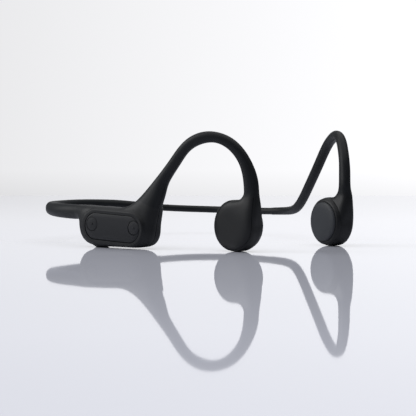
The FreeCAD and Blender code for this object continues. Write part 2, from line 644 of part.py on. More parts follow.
for hand, name in ((1, "left"), (-1, "right")):
    ring_front = RING_BACK + size("ring_depth")
    bore = long_bore if hand > 0 else right_bore

    ring = disc(f"{name}_ring_blank", transducer_place(hand, RING_BACK), "dims.ring_radius",
                "dims.ring_depth")
    round_edges(ring, ring.Tip, "dims.ring_edge", lambda p, _: True)
    inside = new_sketch(ring, "XY_Plane")
    circle(inside, "dims.ring_bore")
    grow(ring, "Pocket", inside, "dims.ring_depth", reverse=True)
    without(f"{name}_transducer_housing", ring, bore)

    cap = disc(f"{name}_outer_cap", transducer_place(hand, ring_front), "dims.cap_radius",
               "dims.cap_depth")
    top = size("cap_depth")
    round_edges(cap, cap.Tip, "dims.cap_edge", lambda p, _: abs(p.z - top) < MID_EDGE)
    spigot = new_sketch(cap, "XY_Plane")
    circle(spigot, "dims.spigot_radius")
    circle(spigot, "dims.spigot_bore")
    grow(cap, "Pad", spigot, "dims.spigot_depth", reverse=True)
    hollow = new_sketch(cap, "XY_Plane")
    circle(hollow, "dims.spigot_bore")
    grow(cap, "Pocket", hollow, "dims.cap_hollow", reverse=True)
    keep(cap, f"{name}_outer_cap")

    plate_back = RING_BACK - size("plate_depth")
    plate = disc(f"{name}_inner_plate", transducer_place(hand, plate_back), "dims.plate_radius",
                 "dims.plate_depth")
    round_edges(plate, plate.Tip, "dims.plate_edge", lambda p, _: abs(p.z) < MID_EDGE)
    keep(plate, f"{name}_inner_plate")

    pad_back = plate_back - size("pad_depth")
    pad = disc(f"{name}_contact_pad", transducer_place(hand, pad_back), "dims.pad_radius",
               "dims.pad_depth")
    round_edges(pad, pad.Tip, "dims.pad_edge", lambda p, _: abs(p.z) < MID_EDGE)
    keep(pad, f"{name}_contact_pad")

    keep(disc(f"{name}_gasket", transducer_place(hand, RING_BACK), "dims.spigot_radius",
              "dims.gasket_depth", "dims.spigot_bore"), f"{name}_gasket")

    spring_level = RING_BACK + size("gasket_depth") + size("spring_gap")
    spring = new_body(f"{name}_suspension_spring", transducer_place(hand, spring_level))
    leaf = new_sketch(spring, "XY_Plane")
    circle(leaf, "dims.spring_radius")
    circle(leaf, "dims.spring_hole")
    for turn in range(6):
        angle = math.radians(60 * turn)
        circle(leaf, "dims.spring_hole", size("spring_hole_circle") * math.cos(angle),
               size("spring_hole_circle") * math.sin(angle))
    grow(spring, "Pad", leaf, "dims.spring_depth")
    keep(spring, f"{name}_suspension_spring")

    coil_level = spring_level + size("spring_depth")
    keep(disc(f"{name}_voice_coil", transducer_place(hand, coil_level), "dims.coil_radius",
              "dims.coil_depth", "dims.coil_bore"), f"{name}_voice_coil")

    yoke_level = coil_level + size("coil_gap")
    yoke = disc(f"{name}_yoke", transducer_place(hand, yoke_level), "dims.yoke_radius",
                "dims.yoke_depth")
    cup = new_sketch(yoke, "XY_Plane")
    circle(cup, "dims.yoke_bore")
    grow(yoke, "Pocket", cup, "dims.yoke_depth - dims.yoke_floor", reverse=True)
    keep(yoke, f"{name}_yoke")

    pole_level = yoke_level + size("yoke_depth") - size("yoke_floor") - size("magnet_depth")
    keep(disc(f"{name}_magnet", transducer_place(hand, pole_level), "dims.magnet_radius",
              "dims.magnet_depth"), f"{name}_magnet")
    keep(disc(f"{name}_pole_plate", transducer_place(hand, pole_level - size("pole_depth")),
              "dims.magnet_radius", "dims.pole_depth"), f"{name}_pole_plate")

# ---- checks and files ----------------------------------------------------------------------------

doc.recompute()
for thing in doc.Objects:
    if "Invalid" in thing.State or "Error" in thing.State:
        raise RuntimeError(f"{thing.Label} did not build: {thing.State}")
whole = FreeCAD.BoundBox()
for node in nodes:
    if node.Shape.isNull() or not node.Shape.isValid() or not node.Shape.Solids:
        raise RuntimeError(f"{node.Label} has no valid solid")
    whole.add(node.Shape.BoundBox)
os.makedirs("parts", exist_ok=True)
for node in nodes:
    node.Shape.exportStep(f"parts/{node.Label}.step")
print(len(nodes), "sub-parts,", whole)
print("flex point", flex_point, "power key", power_place.Base)
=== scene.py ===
import math

import bpy
import numpy as np
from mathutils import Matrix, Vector


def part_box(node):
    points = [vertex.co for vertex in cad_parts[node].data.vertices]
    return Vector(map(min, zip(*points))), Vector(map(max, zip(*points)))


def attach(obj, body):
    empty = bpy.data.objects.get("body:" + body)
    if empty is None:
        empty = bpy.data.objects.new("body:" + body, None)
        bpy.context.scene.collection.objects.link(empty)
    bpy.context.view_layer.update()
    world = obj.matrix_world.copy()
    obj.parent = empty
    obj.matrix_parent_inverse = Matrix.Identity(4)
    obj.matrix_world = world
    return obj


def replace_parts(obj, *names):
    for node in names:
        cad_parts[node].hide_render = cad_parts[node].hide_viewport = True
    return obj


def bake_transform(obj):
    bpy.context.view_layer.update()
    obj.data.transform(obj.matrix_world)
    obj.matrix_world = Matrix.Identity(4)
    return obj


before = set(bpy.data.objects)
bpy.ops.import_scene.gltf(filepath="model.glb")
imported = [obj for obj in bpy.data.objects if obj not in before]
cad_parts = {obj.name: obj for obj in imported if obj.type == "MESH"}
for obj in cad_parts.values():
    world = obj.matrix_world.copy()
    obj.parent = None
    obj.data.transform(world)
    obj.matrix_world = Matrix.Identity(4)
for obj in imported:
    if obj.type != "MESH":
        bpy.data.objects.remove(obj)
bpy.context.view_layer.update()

# ---- stand, camera and studio --------------------------------------------------------------------
# The set stands on a sheet of polished white acrylic, seen from ahead of its right side and
# barely above the sheet. A glowing white panel stands behind it in place of a lit cloth, in a dim
# room, with one soft box overhead and one to the left.

MM = 0.001
scene = bpy.context.scene
scene.view_settings.view_transform = "Standard"


def linear(code):
    """An sRGB hex colour as linear red, green, blue and an alpha of one."""
    share = np.array([int(code[place:place + 2], 16) for place in (1, 3, 5)]) / 255
    curve = np.where(share <= 0.04045, share / 12.92, ((share + 0.055) / 1.055) ** 2.4)
    return (*curve.tolist(), 1.0)


def add_node(tree, kind, inputs=None, **settings):
    """Adds a node, gives it its settings, and fills or links its inputs by name or number."""
    node = tree.nodes.new(kind)
    for name, value in settings.items():
        setattr(node, name, value)
    for name, value in (inputs or {}).items():
        if isinstance(value, bpy.types.NodeSocket):
            tree.links.new(value, node.inputs[name])
        else:
            node.inputs[name].default_value = value
    return node


def new_material(name, **sockets):
    """A material with one Principled shader, its constant values set on the shader's own sockets."""
    material = bpy.data.materials.new(name)
    material.use_nodes = True
    tree = material.node_tree
    tree.nodes.clear()
    names = {key.replace("_", " ").title().replace("Ior", "IOR"): value
             for key, value in sockets.items()}
    shader = add_node(tree, "ShaderNodeBsdfPrincipled", names)
    add_node(tree, "ShaderNodeOutputMaterial", {"Surface": shader.outputs["BSDF"]})
    return material, tree, shader


CAMERA_PLACE = (0.5234, -0.4349, 0.0437)
CAMERA_HEADING = (-0.7636, 0.6457)
CAMERA_DIP = 0.0383
FOCAL_LENGTH = 112.5

camera = bpy.data.objects.new("camera", bpy.data.cameras.new("camera"))
camera.data.sensor_width = 36
camera.data.lens = FOCAL_LENGTH
camera.location = CAMERA_PLACE
ahead = Vector((*CAMERA_HEADING, 0)) * math.cos(CAMERA_DIP) - Vector((0, 0, math.sin(CAMERA_DIP)))
camera.rotation_euler = ahead.to_track_quat("-Z", "Y").to_euler()
scene.collection.objects.link(camera)
scene.camera = camera

SHEET_HALF = 4.0
floor_mesh = bpy.data.meshes.new("acrylic_sheet")
sheet_corners = [(x * SHEET_HALF, y * SHEET_HALF, 0) for x, y in ((-1, -1), (1, -1), (1, 1), (-1, 1))]
floor_mesh.from_pydata(sheet_corners, [], [(0, 1, 2, 3)])
floor = bpy.data.objects.new("acrylic_sheet", floor_mesh)
scene.collection.objects.link(floor)

# cast acrylic, polished: a cool white, with a near mirror of the set in it
acrylic, _, _ = new_material("polished_white_acrylic", base_color=linear("#dcdeea"),
                             roughness=0.03, ior=1.49)
floor_mesh.materials.append(acrylic)

world = bpy.data.worlds.new("studio")
world.use_nodes = True
world.node_tree.nodes.clear()
room = add_node(world.node_tree, "ShaderNodeBackground",
                {"Color": linear("#eef2f8"), "Strength": 0.19})
add_node(world.node_tree, "ShaderNodeOutputWorld", {"Surface": room.outputs["Background"]})
scene.world = world

# the backdrop: a glowing white panel that stands in for a lit cloth and meets the sheet behind the set.
# Its glow is painted brighter from left to right, a painted fall of light across it, and painted dimmer
# at its foot, painted shade where it meets the sheet. The dark rubber stands out against it.
WALL_AWAY = 1.52
WALL_WIDE = 0.29
WALL_TALL = 0.32
GLOW_HALF = 0.25
# glow levels of the painted fall of light at the left and right, and of the painted shade at the foot
PAINTED_GLOW_LEFT = 0.84
PAINTED_GLOW_RIGHT = 1.06
FOOT_TALL = 0.03
FOOT_GLOW_IN_PAINTED_SHADE = 0.9
rightward = Vector((CAMERA_HEADING[1], -CAMERA_HEADING[0], 0))
wall_foot = Vector((*CAMERA_PLACE[:2], 0)) + Vector((*CAMERA_HEADING, 0)) * WALL_AWAY
wall_mesh = bpy.data.meshes.new("backdrop")
wall_mesh.from_pydata([wall_foot + rightward * x * WALL_WIDE + Vector((0, 0, z * WALL_TALL))
                       for x, z in ((-1, 0), (1, 0), (1, 1), (-1, 1))], [], [(0, 1, 2, 3)])
wall = bpy.data.objects.new("backdrop", wall_mesh)
scene.collection.objects.link(wall)
cloth = bpy.data.materials.new("glowing_white_backdrop")
cloth.use_nodes = True
tree = cloth.node_tree
tree.nodes.clear()
place = add_node(tree, "ShaderNodeTexCoord").outputs["Object"]
across = add_node(tree, "ShaderNodeVectorMath", {0: place, 1: tuple(rightward)}, operation="DOT_PRODUCT")
height = add_node(tree, "ShaderNodeSeparateXYZ", {0: place}).outputs["Z"]
middle_across = wall_foot.dot(rightward)
# painted light: the glow rises from left to right as if lamplight fell across a cloth
painted_side_light = add_node(tree, "ShaderNodeMapRange", {
    "Value": across.outputs["Value"],
    "From Min": middle_across - GLOW_HALF, "From Max": middle_across + GLOW_HALF,
    "To Min": PAINTED_GLOW_LEFT, "To Max": PAINTED_GLOW_RIGHT})
# painted shade: the glow dims over the lowest 30 mm, where the panel meets the sheet
painted_foot_shade = add_node(tree, "ShaderNodeMapRange", {
    "Value": height, "From Min": 0.0, "From Max": FOOT_TALL, "To Min": FOOT_GLOW_IN_PAINTED_SHADE, "To Max": 1.0})
glow = add_node(tree, "ShaderNodeMath", {0: painted_side_light.outputs["Result"], 1: painted_foot_shade.outputs["Result"]},
                operation="MULTIPLY")
backdrop_emission = add_node(tree, "ShaderNodeEmission", {"Color": linear("#fdfdff"), "Strength": glow.outputs[0]})
add_node(tree, "ShaderNodeOutputMaterial", {"Surface": backdrop_emission.outputs[0]})
wall_mesh.materials.append(cloth)


def soft_box(name, place, aim, width, height, power):
    """A rectangular lamp at place that looks at aim."""
    lamp = bpy.data.lights.new(name, "AREA")
    lamp.shape = "RECTANGLE"
    lamp.size = width
    lamp.size_y = height
    lamp.energy = power
    box = bpy.data.objects.new(name, lamp)
    box.location = place
    box.rotation_euler = (Vector(aim) - Vector(place)).to_track_quat("-Z", "Y").to_euler()
    scene.collection.objects.link(box)


soft_box("overhead_box", (0.0, 0.0, 1.1), (0, 0, 0), 2.0, 2.0, 15)
soft_box("left_box", (-0.55, -0.75, 0.5), (0, -0.05, 0.02), 0.7, 0.7, 7)

# ---- memory wire and signal cables ---------------------------------------------------------------
# A titanium alloy wire runs from the pod through the neckband to the left transducer, and the left
# cable runs beside it. The right hook has a shorter pair. They go in first: the skins go over them.

ARM_LINE = [(-77.5, -12, 17.8), (-68.5, -41, 18), (-51, -59, 17.6), (-22, -65, 16.9),
            (-3.5, -63.3, 16.7)]
JOINER_LINE = [(-77.5, 0, 17.4), (-77.3, 9, 16.9), (-74.2, 21, 15.9)]
BAND_LINE = [(-67, 41.5, 14.4), (-51, 58, 13.8), (-22, 64.8, 13.6)]
BEND_LINE = [(-3, 67.6, 14.1), (15.6, 58.8, 16.0), (31, 52.1, 28.9)]
HOOK_LINE = [(51, 47.2, 51.3), (61.5, 42, 55), (69, 37.7, 52.5), (76.3, 32.4, 42.3), (77.5, 31, 29)]
HOOK_END = (74.5, 31, 19)
ORIGIN = np.array([0.5, -0.2, 0])
TWIST = math.tan(math.radians(1.0))
SPLAY = math.radians(22)
RIM = (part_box("right_transducer_housing")[1].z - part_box("right_transducer_housing")[0].z) / 2 / MM
UP = np.array([0.0, 0.0, 1.0])


def unit(vectors):
    """Vectors of length one, along the last axis."""
    return vectors / np.linalg.norm(vectors, axis=-1, keepdims=True)


def hook_line(hand, points):
    """Hook points of one side: hand is 1 on the left and -1 on the right. The band's slight twist
    lifts the left hook at its top, lowers the right one, and leaves both transducers level."""
    points = np.array(points, float)
    top = points[:, 2].argmax()
    share = (points[:, 2] - RIM) / (points[top, 2] - RIM)
    share[:top] = 1.0
    lean = (points[:, 2] - RIM) * TWIST
    lift = hand * points[:, 1] * TWIST * share
    return np.stack([points[:, 0], hand * points[:, 1] - lean, points[:, 2] + lift], 1)


LONG_RUN = 8.0


def eased(points):
    """The points with each inner one moved inside its bend, by an eighth of the shorter run beside
    it times the change of heading there."""
    runs = np.diff(points, axis=0)
    lengths = np.linalg.norm(runs, axis=1)
    turn = np.diff(unit(runs), axis=0)
    moved = points.copy()
    moved[1:-1] += turn * np.minimum(lengths[:-1], lengths[1:])[:, None] / 8
    return moved


def with_middles(points, sides, girths):
    """The eased route with a point halfway along each long run, its side and girth halfway too.
    Each bend is then spread over both of its runs."""
    soft = eased(points)
    girths = np.array(girths, float)
    route = [(soft[0], sides[0], girths[0])]
    for place in range(1, len(points)):
        if np.linalg.norm(points[place] - points[place - 1]) > LONG_RUN:
            route.append(tuple((part[place] + part[place - 1]) / 2 for part in (points, sides, girths)))
        route.append((soft[place], sides[place], girths[place]))
    return tuple(np.array(part) for part in zip(*route))


def headings(points):
    """The direction of travel at each point of a route, from the point before to the one after."""
    padded = np.concatenate([points[:1], points, points[-1:]])
    return unit(padded[2:] - padded[:-2])


def level_sides(points):
    """The level direction to the left of the route at each point."""
    return unit(np.cross(UP, headings(points)))


def hook_side(hand):
    """The level direction across a hook, towards the wearer's left on either side."""
    return np.array([hand * math.sin(SPLAY), math.cos(SPLAY), 0])


def spline(knots, values, where):
    """A natural cubic spline: it passes through every value, its slope and its bend change without
    a step at the knots, and its bend is nought at both ends."""
    gap = np.diff(knots)
    slope = np.diff(values, axis=0) / gap[:, None]
    inner = np.arange(1, len(knots) - 1)
    system = np.eye(len(knots))
    system[inner, inner - 1] = gap[:-1]
    system[inner, inner] = 2 * (gap[:-1] + gap[1:])
    system[inner, inner + 1] = gap[1:]
    load = np.zeros_like(values)
    load[inner] = 6 * np.diff(slope, axis=0)
    bend = np.linalg.solve(system, load)
    span = np.clip(np.searchsorted(knots, where, side="right") - 1, 0, len(knots) - 2)
    width = gap[span][:, None]
    after = (where - knots[span])[:, None]
    before = width - after
    return (
        bend[span] * (before ** 3 / width - before * width) / 6
        + bend[span + 1] * (after ** 3 / width - after * width) / 6
        + (values[span] * before + values[span + 1] * after) / width
    )


def stations(points, sides, girths, square=2.0):
    """One row for each point of a route: the middle, the half height as a vector at right angles to
    the route and to the side, the half width as a vector along the side, and the squareness."""
    girths = np.array(girths, float)
    heading = headings(points)
    side = unit(sides - heading * (sides * heading).sum(1, keepdims=True))
    crown = np.cross(heading, side)
    full = np.full((len(points), 1), square)
    return np.hstack([points, crown * girths[:, :1] / 2, side * girths[:, 1:] / 2, full])


def run_lengths(table):
    """How far each station lies along its limb, counting both travel and change of section."""
    steps = np.linalg.norm(np.diff(table[:, :9], axis=0), axis=1)
    return np.concatenate([[0.0], np.cumsum(steps)])


def flow(table, start, end, rows):
    """The station table, drawn out to evenly spaced rows between two of its stations."""
    knots = run_lengths(table)
    return spline(knots, table, np.linspace(knots[start], knots[end], rows))


def rings(rows, turn):
    """Points round each row's section. At an angle t, in units of the half sizes, the section lies
    at (cos t, sin t) divided by (|cos t|^n + |sin t|^n)^(1/n), where n is the squareness."""
    middle, crown, side, square = (part[:, None] for part in np.split(rows, [3, 6, 9], axis=1))
    cosine, sine = np.cos(turn)[None, :, None], np.sin(turn)[None, :, None]
    reach = (abs(cosine) ** square + abs(sine) ** square) ** (-1 / square)
    return middle + (crown * cosine + side * sine) * reach


def full_turn(columns):
    """Evenly spaced angles round a full turn."""
    return np.linspace(0, 2 * np.pi, columns, endpoint=False)


CREASE = math.radians(38)


def surface(name, points, material, looped=False):
    """A closed skin over a grid of points in millimetres. Each row is a closed ring. The first and
    last rows are joined to each other when looped, and otherwise each is closed by a flat face."""
    rows, columns = points.shape[:2]
    corners = points.reshape(-1, 3)
    index = np.arange(rows * columns).reshape(rows, columns)
    near = index if looped else index[:-1]
    far = np.roll(index, -1, axis=0) if looped else index[1:]
    quads = np.stack([near, np.roll(near, -1, 1), np.roll(far, -1, 1), far], -1).reshape(-1, 4)
    first, second, third, fourth = corners[quads].transpose(1, 0, 2)
    offset = (first + third) / 2 - corners.mean(0)
    inside_out = (np.cross(third - first, fourth - second) * offset).sum() < 0
    faces = quads.tolist() + ([] if looped else [index[0, ::-1].tolist(), index[-1].tolist()])
    if inside_out:
        faces = [face[::-1] for face in faces]
    mesh = bpy.data.meshes.new(name)
    mesh.from_pydata((corners * MM).tolist(), [], faces)
    mesh.polygons.foreach_set("use_smooth", [True] * len(faces))
    mesh.set_sharp_from_angle(angle=CREASE)
    mesh.materials.append(material)
    piece = bpy.data.objects.new(name, mesh)
    scene.collection.objects.link(piece)
    return piece


def limb_skin(name, table, start, end, grid, material):
    """The skin of a limb between two of its stations, on a grid of rows along it and columns round
    it: the rings of the flow of its table."""
    rows, columns = grid
    return surface(name, rings(flow(table, start, end, rows), full_turn(columns)), material)


def object_noise(tree, size, detail=2.0, stretch=(1, 1, 1)):
    """Noise on Object coordinates whose patches are about size millimetres across."""
    place = add_node(tree, "ShaderNodeTexCoord")
    scaled = add_node(tree, "ShaderNodeMapping", {"Vector": place.outputs["Object"], "Scale": stretch})
    return add_node(tree, "ShaderNodeTexNoise",
                    {"Vector": scaled.outputs["Vector"], "Scale": 1 / (size * MM), "Detail": detail})


def spread(tree, value, low, high):
    """A value that runs from nought to one, spread from low to high."""
    return add_node(tree, "ShaderNodeMapRange",
                    {"Value": value, "To Min": low, "To Max": high}).outputs["Result"]


def tint(tree, shader, share, dark, light):
    """Colours the shader between two tones by a share from nought to one."""
    mix = add_node(tree, "ShaderNodeMix", {0: share, 6: linear(dark), 7: linear(light)},
                   data_type="RGBA")
    tree.links.new(mix.outputs[2], shader.inputs["Base Color"])


def relief(tree, shader, height, depth):
    """Raises the shader's surface by a height from nought to one, depth millimetres at most."""
    bump = add_node(tree, "ShaderNodeBump", {"Height": height, "Distance": depth * MM, "Strength": 1.0})
    tree.links.new(bump.outputs["Normal"], shader.inputs["Normal"])


def bright_metal(name, dark, light, roughness, grain, stretch=(1, 1, 1)):
    """Bare or plated metal, with fine marks of grain millimetres left by drawing or turning."""
    material, tree, shader = new_material(name, metallic=1.0)
    marks = object_noise(tree, grain, 4.0, stretch).outputs["Fac"]
    tint(tree, shader, marks, dark, light)
    tree.links.new(spread(tree, marks, roughness * 0.7, roughness * 1.3), shader.inputs["Roughness"])
    relief(tree, shader, marks, 0.01)
    return material


# nickel titanium, drawn: dull grey with draw marks about 0.2 mm apart
drawn_titanium = bright_metal("drawn_nickel_titanium", "#6f6a64", "#9a948c", 0.35, 0.2, (1, 1, 4))

# extruded soft PVC: dark grey and smooth, its gloss broken by patches of about 1.5 mm
cable_jacket, tree, shader = new_material("extruded_pvc_jacket", ior=1.53)
patches = object_noise(tree, 1.5).outputs["Fac"]
tint(tree, shader, patches, "#1c1c1d", "#262627")
tree.links.new(spread(tree, patches, 0.35, 0.5), shader.inputs["Roughness"])

arm_line = np.array(ARM_LINE)
long_level = np.concatenate([arm_line[::-1], np.array(JOINER_LINE + BAND_LINE + BEND_LINE)])
left_hook_line = hook_line(1, HOOK_LINE + [HOOK_END])
right_hook_line = hook_line(-1, HOOK_LINE + [HOOK_END])
unbent = np.concatenate([long_level, left_hook_line]) - ORIGIN
long_line = eased(unbent)
long_sides = np.concatenate([level_sides(long_level),
                             np.repeat(hook_side(1)[None], len(left_hook_line), 0)])
RIGHT_ROOT = [(26.3, -55.8, 18), (32.2, -52.8, 27.2)]
right_line = eased(np.concatenate([np.array(RIGHT_ROOT), right_hook_line]) - ORIGIN)
right_sides = np.repeat(hook_side(-1)[None], len(right_line), 0)

joiner_start = len(ARM_LINE)
band_start = joiner_start + len(JOINER_LINE)
bend_start = band_start + len(BAND_LINE)

nape = (unbent[joiner_start - 1] + unbent[joiner_start]) / 2
flex_point = (unbent[band_start - 1] + unbent[band_start]) / 2
SLEEVE_SHARE = 0.75
sleeve_end = unbent[bend_start - 1] * (1 - SLEEVE_SHARE) + unbent[bend_start] * SLEEVE_SHARE


def bends_with_band(piece):
    """Bakes the piece's placement into its mesh; the piece stays with neither side and does not bend."""
    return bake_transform(piece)


# each core: its name, its CAD node in the band and in the right hook, its radius, the side of the
# middle line that it runs on, its material and its slot
WIRE_OFFSET = 0.6
CORE_ROWS = 16
CORE_COLUMNS = 12
CORES = (
    ("titanium_wire", "memory_wire", "right_hook_wire", 0.5, 1, drawn_titanium, "titanium"),
    ("signal_lead", "left_signal_cable", "right_signal_cable", 0.4, -1, cable_jacket, "cable_jacket"),
)
for name, long_node, right_node, radius, hand, material, slot in CORES:
    offset = hand * WIRE_OFFSET
    for line, sides, node, prefix in (
        (long_line, long_sides, long_node, "band_"), (right_line, right_sides, right_node, "right_hook_"),
    ):
        table = stations(line + sides * offset, sides, [(2 * radius, 2 * radius)] * len(line))
        grid = (CORE_ROWS * len(line), CORE_COLUMNS)
        core = limb_skin(prefix + name, table, 0, -1, grid, material)
        if node == long_node:
            bends_with_band(core)
        else:
            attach(core, "right_side")
        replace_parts(core, node)

# ---- right arm, nape joiner and neckband sleeve --------------------------------------------------
# The band's skins are liquid silicone moulded over the wire: a thick tapering arm behind the pod, a
# short joiner at the nape, and a thin round sleeve that bends with the wire.


def soft_touch(name, dark, light, roughness):
    """Liquid silicone rubber, moulded in a fine blasted tool: nearly black, with a broad soft
    sheen. Its tone drifts over 6 mm, and its skin has a grain of 0.35 mm, coarser than the real
    0.05 mm so that it shows."""
    material, tree, shader = new_material(name, ior=1.41, specular_ior_level=0.3)
    drift = object_noise(tree, 6.0).outputs["Fac"]
    skin = object_noise(tree, 0.35, 3.0).outputs["Fac"]
    tint(tree, shader, drift, dark, light)
    tree.links.new(spread(tree, skin, roughness - 0.05, roughness + 0.05), shader.inputs["Roughness"])
    relief(tree, shader, skin, 0.0008)
    return material


silicone_skin = soft_touch("soft_touch_silicone", "#0a0d10", "#101317", 0.5)

# pod frame: x runs forward along the pod, y towards the head, z up from the stand
pod_low, pod_high = (
    np.array([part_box(node)[corner] for node in ("pod_outer_shell", "pod_inner_cover")])
    for corner in (0, 1)
)
pod_middle = (pod_low.min(0) + pod_high.max(0)) / 2 / MM


def centre_of(node):
    """The middle of a CAD node's box, in millimetres."""
    low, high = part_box(node)
    return np.array((low + high) / 2) / MM


pod_forward = unit((centre_of("volume_up_button") - centre_of("volume_down_button")) * (1, 1, 0))
pod_inward = np.cross(UP, pod_forward)
POD_MID = 0.2


def in_pod(x, y, z):
    """Points of the pod's frame, placed in the whole object's frame."""
    x, y, z = (np.asarray(part, float)[..., None] for part in (x, y, z))
    base = pod_middle * (1, 1, 0) - pod_inward * POD_MID
    return base + x * pod_forward + y * pod_inward + z * UP


# each row of the pod: the top edge (x, z), the bottom or front edge (x, z), the middle's y, the half
# depth and the squareness. The rows stand upright along the pod and fan round its front corner.
POD_ROWS = [
    (-27.5, 20.5, -27.0, 13.3, 1.7, 3.5, 2.3),
    (-23.2, 20.5, -23.9, 12.8, 0.9, 4.2, 2.5),
    (-20.6, 20.5, -22.4, 10.2, 0.5, 5.0, 2.8),
    (-18.8, 20.4, -21.6, 7.2, 0.3, 5.6, 3.2),
    (-17.0, 20.3, -20.0, 4.4, 0.2, 6.0, 3.8),
    (-14.8, 20.2, -17.4, 2.2, 0.2, 6.15, 4.2),
    (-12.0, 20.1, -13.5, 1.0, 0.2, 6.2, 4.4),
    (-8.0, 20.0, -8.5, 0.6, 0.2, 6.2, 4.5),
    (-3.0, 19.8, -2.5, 0.6, 0.2, 6.2, 4.5),
    (1.5, 19.6, 4.0, 0.6, 0.2, 6.2, 4.5),
    (4.6, 19.8, 10.0, 0.6, 0.2, 6.2, 4.4),
    (6.8, 20.3, 15.8, 0.95, 0.2, 6.1, 4.2),
    (8.3, 20.9, 20.0, 2.8, 0.2, 5.9, 3.8),
    (9.4, 21.5, 22.2, 6.5, 0.25, 5.6, 3.4),
    (10.4, 22.2, 22.9, 11.0, 0.35, 5.2, 3.0),
    (11.5, 23.1, 23.8, 15.4, 0.5, 4.8, 2.7),
    (12.9, 24.4, 24.7, 19.6, 0.75, 4.3, 2.5),
    (15.0, 26.5, 26.2, 24.0, 1.1, 3.9, 2.35),
]


def pod_stations(rows):
    """Stations of the pod: each row's middle is halfway between its two edges, its half height is
    half the way from one to the other, and its half width runs towards the head."""
    top_x, top_z, low_x, low_z, middle, depth, square = np.array(rows).T
    top, low = in_pod(top_x, middle, top_z), in_pod(low_x, middle, low_z)
    inward = depth[:, None] * pod_inward
    return np.hstack([(top + low) / 2, (top - low) / 2, inward, square[:, None]])


ARM_GIRTHS = [(5.6, 5.2), (5.6, 5.2), (5.8, 5.4), (6.6, 6.0), (7.3, 6.8)]
pod_end = pod_stations(POD_ROWS[:1])[:, :3]
arm_route = eased(np.concatenate([nape[None], arm_line[:4] - ORIGIN, pod_end]))
arm_table = stations(arm_route, level_sides(arm_route), ARM_GIRTHS + [(7.3, 6.9)], 2.2)[:-1]

# the hook's straight stretch above the pod, with a point in it that keeps it straight
HOOK_RISE = [(37.5, -51.2, 34.0), (44.0, -49.3, 42.3)]
RISE_GIRTHS = [(6.3, 5.9), (5.4, 5.2)]
LEG_GIRTHS = [(5.3, 5.0), (5.3, 5.0), (5.2, 5.0), (5.8, 5.2), (7.4, 5.6)]


def leg_stations(points, hand, girths):
    """Stations of a hook, whose sides all run the one level way across it."""
    return stations(points, np.repeat(hook_side(hand)[None], len(points), 0), girths, 2.2)


DISC_SQUARE = 4.6
DISC_HALF = 5.2
DISC_OUTSET = 0.8
# each row of the flare from leg to disc: the front edge and the back edge (how far ahead of the
# disc's middle, how far above the stand), how far towards the head, the half width, the squareness
FLARE_ROWS = [
    (12.85, 25.5, 4.5, 26.0, -1.4, 3.1, 2.5),
    (13.1, 22.0, 2.8, 24.6, -1.25, 3.6, 2.8),
    (13.0, 18.8, 0.1, 24.25, -1.1, 4.2, 3.2),
    (12.7, 15.6, -3.2, 24.0, -0.95, 4.75, 3.8),
]
FRONT_ANGLES = (2, -15, -31, -46, -59, -70, -79, -86)
BACK_ANGLES = (120, 142, 164, 186, 207, 227, 246, 264)


def transducer_frame(name, hand):
    """The middle of a transducer, its forward direction and its direction to the wearer's left."""
    middle = centre_of(name + "_transducer_housing")
    across = unit((centre_of(name + "_contact_pad") - middle) * (1, 1, 0)) * -hand
    forward = np.cross(across, UP)
    return middle, forward, across


def disc_stations(name, hand):
    """Rows that leave the leg, sweep down across the disc and close at its lowest point. A row
    between two rim points lies a share of the radius from the centre, and is that much thinner."""
    middle, forward, across = transducer_frame(name, hand)
    rows = []
    for front, high, back, low, outset, half, square in FLARE_ROWS:
        rows.append((front, high - RIM, back, low - RIM, outset, half, square))
    for front, back in zip(np.radians(FRONT_ANGLES), np.radians(BACK_ANGLES)):
        share = math.cos((back - front) / 2)
        half = DISC_HALF * (1 - abs(share) ** DISC_SQUARE) ** (1 / DISC_SQUARE)
        rows.append((RIM * math.cos(front), RIM * math.sin(front), RIM * math.cos(back),
                     RIM * math.sin(back), -DISC_OUTSET, half, DISC_SQUARE))
    front, high, back, low, outset, half, square = np.array(rows).T[:, :, None]
    aside = -outset * hand
    first = middle + forward * front + UP * high + across * aside
    last = middle + forward * back + UP * low + across * aside
    return np.hstack([(first + last) / 2, (first - last) / 2, across * half, square])


right_leg = eased(np.concatenate([np.array(HOOK_RISE), right_hook_line[:-1]]) - ORIGIN)
right_table = np.concatenate([
    arm_table, pod_stations(POD_ROWS), leg_stations(right_leg, -1, RISE_GIRTHS + LEG_GIRTHS),
    disc_stations("right", -1),
])
POD_START = len(arm_table)
HOOK_ROOT = POD_START + len(POD_ROWS) - 2
RIGHT_DISC = len(right_table) - len(FLARE_ROWS) - len(FRONT_ANGLES) - 1

ARM_GRID = (160, 56)
arm = limb_skin("right_arm_skin", right_table, 0, POD_START, ARM_GRID, silicone_skin)
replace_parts(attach(arm, "right_side"), "right_arm")

JOINER_GIRTHS = [(5.6, 5.2), (5.6, 5.4), (5.4, 5.4), (4.8, 4.8), (4.4, 4.4)]
joiner_route = np.concatenate([nape[None], long_line[joiner_start:band_start], flex_point[None]])
joiner_table = stations(joiner_route, level_sides(joiner_route), JOINER_GIRTHS)
JOINER_GRID = (70, 48)
joiner = limb_skin("nape_joiner_skin", joiner_table, 0, -1, JOINER_GRID, silicone_skin)
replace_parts(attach(joiner, "right_side"), "nape_joiner")

SLEEVE_WIDTH = 3.8
SLEEVE_TUCK = 2
SLEEVE_GRID = (260, 32)
sleeve_route = np.concatenate([
    (flex_point - unit(unbent[band_start] - flex_point) * SLEEVE_TUCK)[None],
    long_line[band_start:bend_start],
    (sleeve_end + unit(unbent[bend_start] - sleeve_end) * SLEEVE_TUCK)[None],
])
sleeve_girths = [(SLEEVE_WIDTH, SLEEVE_WIDTH)] * len(sleeve_route)
sleeve_table = stations(sleeve_route, level_sides(sleeve_route), sleeve_girths)
sleeve = limb_skin("neckband_sleeve_skin", sleeve_table, 0, -1, SLEEVE_GRID, silicone_skin)
bends_with_band(sleeve)
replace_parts(sleeve, "neckband_sleeve")

